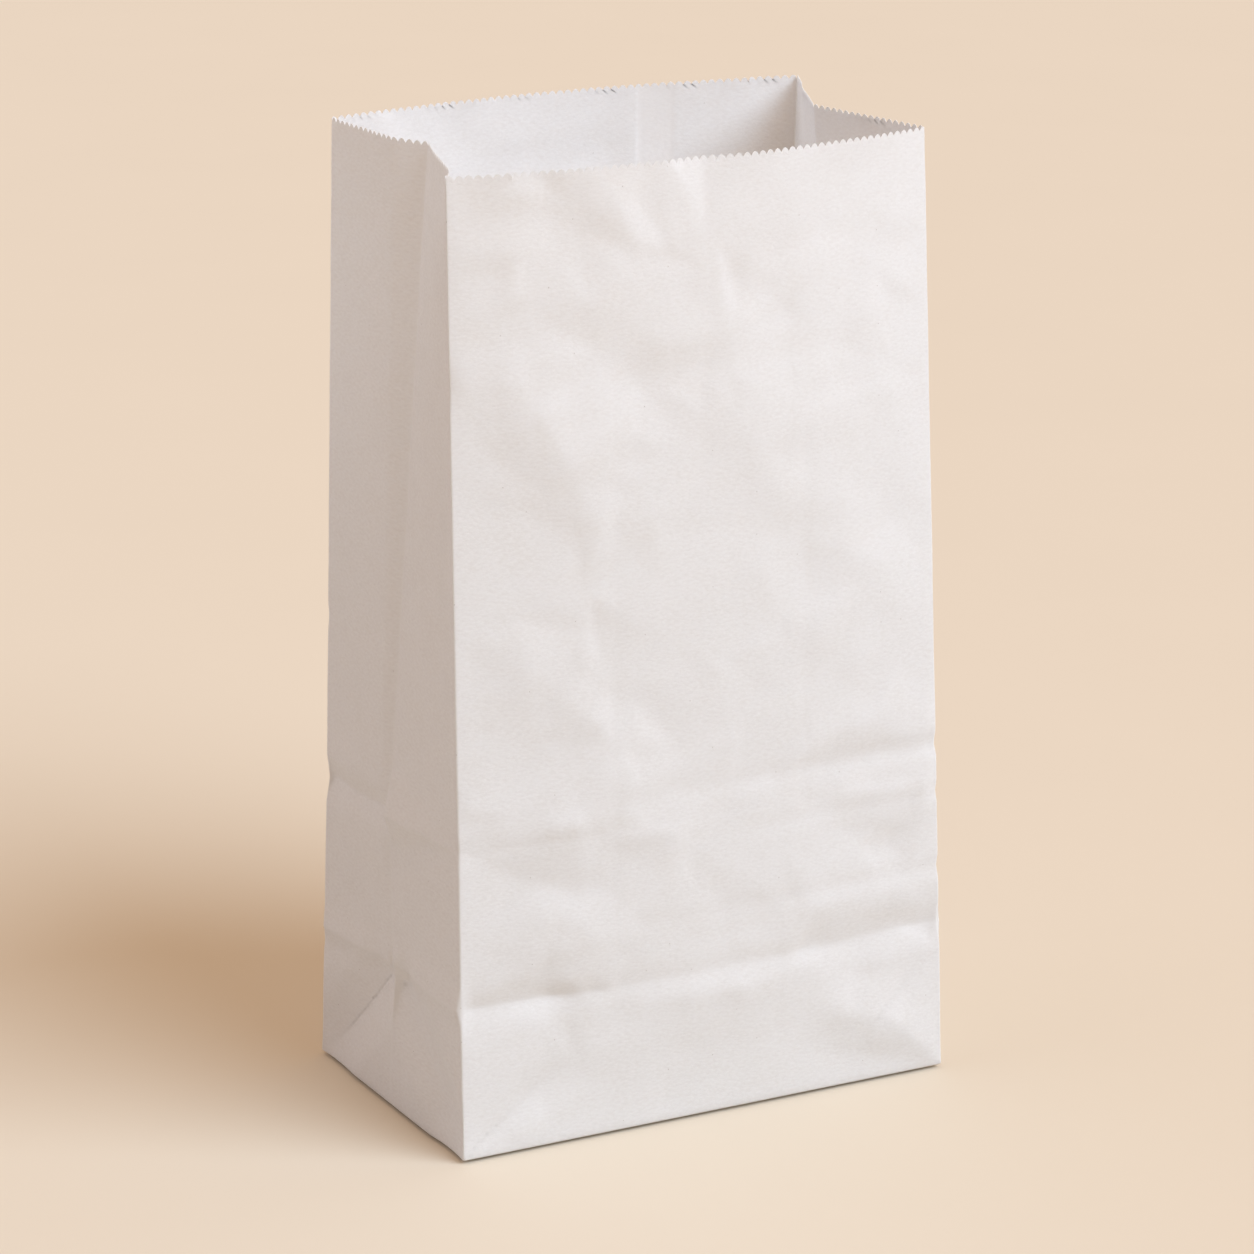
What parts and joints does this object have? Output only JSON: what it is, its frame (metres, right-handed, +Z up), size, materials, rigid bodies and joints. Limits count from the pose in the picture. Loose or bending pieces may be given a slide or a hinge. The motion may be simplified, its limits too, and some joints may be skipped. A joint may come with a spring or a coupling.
{
  "type": "paper bag",
  "caption": "Open empty block-bottom paper bag with side gussets and a pinked mouth, standing on its folded base.",
  "frame": {"origin": "on the ground, on the outer flap of the base, midway between the four walls", "axes": "+X to the right along the front panel, -Y out of the front panel, +Z up"},
  "size_m": [0.1584, 0.1059, 0.2805],
  "materials": {
    "paper": "matte"
  },
  "bodies": {
    "root": {"paper_bag": "paper"}
  },
  "joints": []
}
